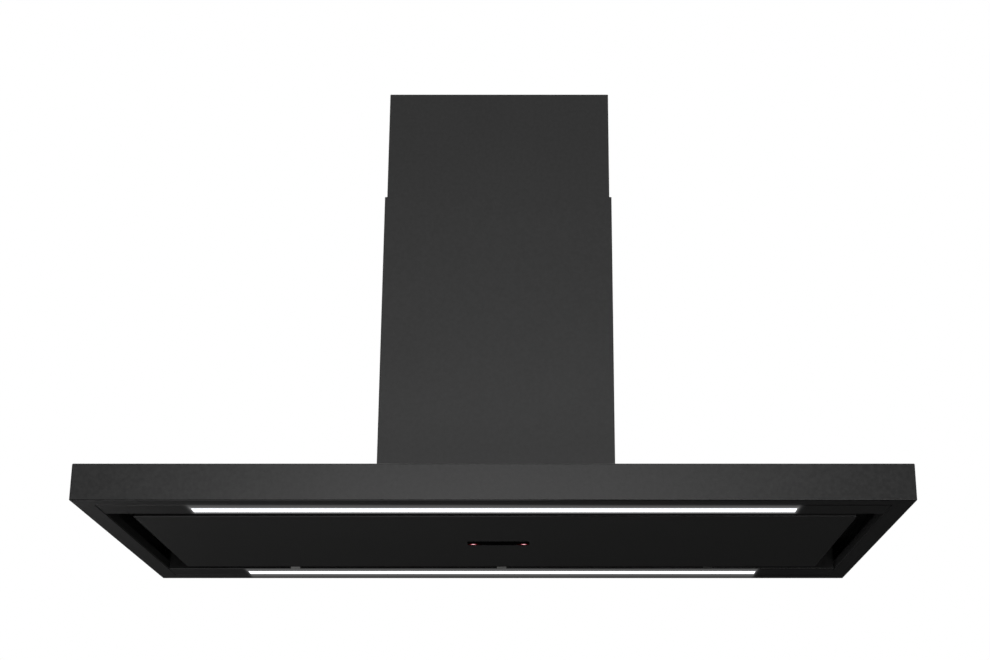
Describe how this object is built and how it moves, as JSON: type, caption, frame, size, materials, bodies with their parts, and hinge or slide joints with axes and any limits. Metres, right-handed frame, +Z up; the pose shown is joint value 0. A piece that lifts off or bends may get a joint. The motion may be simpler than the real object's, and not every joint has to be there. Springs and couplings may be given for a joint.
{
  "type": "chimney range hood",
  "caption": "Ceiling-hung island chimney hood: square telescoping chimney over a thin rectangular canopy with light bars and a hinged perimeter suction panel.",
  "frame": {"origin": "centre of the ceiling plate's upper face, on the ceiling plane, on the chimney's axis", "axes": "+Z up into the ceiling, -Y towards the front of the hood, +X to the right seen from the front"},
  "size_m": [1.2, 0.6, 0.7],
  "materials": {
    "chimney_coat": "fine-textured matt black powder coat",
    "canopy_coat": "fine-textured matt black powder coat",
    "bar_coat": "matt black powder coat",
    "panel_coat": "smooth matt black enamel",
    "galvanised_steel": "galvanised sheet",
    "aluminium": "mill finish",
    "lens": "opal, lit from behind",
    "sensor_glass": "dark polished window",
    "black_plastic": "moulded, fine grain",
    "grey_plastic": "moulded, smooth",
    "zinc_screws": "zinc plated",
    "black_screws": "black zinc",
    "motor_steel": "plated steel can",
    "magnet": "nickel plated"
  },
  "bodies": {
    "ceiling_mount": {"ceiling_plate": "galvanised_steel", "upper_leg_rear_right": "galvanised_steel", "upper_leg_rear_left": "galvanised_steel", "upper_leg_front_left": "galvanised_steel", "upper_leg_front_right": "galvanised_steel", "upper_frame_screws": "zinc_screws", "upper_chimney_front": "chimney_coat", "upper_chimney_rear": "chimney_coat", "upper_chimney_screws": "black_screws"},
    "hood": {"canopy_shell": "canopy_coat", "front_light_bar": "bar_coat", "front_light_lens": "lens", "front_led_module": "aluminium", "rear_light_bar": "bar_coat", "rear_light_lens": "lens", "rear_led_module": "aluminium", "lower_chimney_front": "chimney_coat", "lower_chimney_rear": "chimney_coat", "lower_leg_rear_right": "galvanised_steel", "lower_leg_rear_left": "galvanised_steel", "lower_leg_front_left": "galvanised_steel", "lower_leg_front_right": "galvanised_steel", "frame_bolts": "zinc_screws", "frame_nuts": "zinc_screws", "canopy_screws": "zinc_screws", "filter_tray": "galvanised_steel", "filter_frame_left": "aluminium", "filter_frame_right": "aluminium", "filter_mesh_left": "aluminium", "filter_mesh_right": "aluminium", "airbox": "galvanised_steel", "blower_scroll_left": "grey_plastic", "blower_scroll_right": "grey_plastic", "motor": "motor_steel", "motor_bracket": "galvanised_steel", "motor_screws": "zinc_screws", "outlet_collar": "grey_plastic", "damper_pin": "zinc_screws", "control_box": "grey_plastic", "control_lid": "grey_plastic", "cable_gland": "black_plastic", "hinge_bracket_left": "galvanised_steel", "hinge_bracket_middle": "galvanised_steel", "hinge_bracket_right": "galvanised_steel", "hinge_pins": "zinc_screws", "magnet_holder_left": "galvanised_steel", "magnet_holder_right": "galvanised_steel", "panel_magnets": "magnet"},
    "panel": {"perimeter_panel": "panel_coat", "panel_liner": "galvanised_steel", "sensor_window": "sensor_glass", "sensor_housing": "black_plastic"},
    "latch_left": {"filter_latch_left": "black_plastic"},
    "latch_right": {"filter_latch_right": "black_plastic"},
    "impeller": {"impeller": "black_plastic", "motor_shaft": "zinc_screws"},
    "flap_left": {"damper_flap_left": "grey_plastic"},
    "flap_right": {"damper_flap_right": "grey_plastic"}
  },
  "joints": [
    {"name": "chimney_height", "type": "slide", "parent": "ceiling_mount", "child": "hood", "axis": [0, 0, -1], "range_m": [-0.12, 0.18]},
    {"name": "panel_hinge", "type": "hinge", "parent": "hood", "child": "panel", "pos_m": [0, 0.202, -0.691], "axis": [1, 0, 0], "range_deg": [0, 90]},
    {"name": "latch_left_slide", "type": "slide", "parent": "hood", "child": "latch_left", "axis": [0, 1, 0], "range_m": [0, 0.008], "stiffness_N_per_m": 400, "springref_m": -0.004},
    {"name": "latch_right_slide", "type": "slide", "parent": "hood", "child": "latch_right", "axis": [0, 1, 0], "range_m": [0, 0.008], "stiffness_N_per_m": 400, "springref_m": -0.004},
    {"name": "impeller_spin", "type": "hinge", "parent": "hood", "child": "impeller", "pos_m": [0, -0.04, -0.526], "axis": [1, 0, 0], "continuous": true},
    {"name": "flap_left_hinge", "type": "hinge", "parent": "hood", "child": "flap_left", "pos_m": [0, 0.03336, -0.3545], "axis": [0, 1, 0], "range_deg": [0, 75]},
    {"name": "flap_right_hinge", "type": "hinge", "parent": "hood", "child": "flap_right", "pos_m": [0, 0.03336, -0.3545], "axis": [0, -1, 0], "range_deg": [0, 75]}
  ]
}
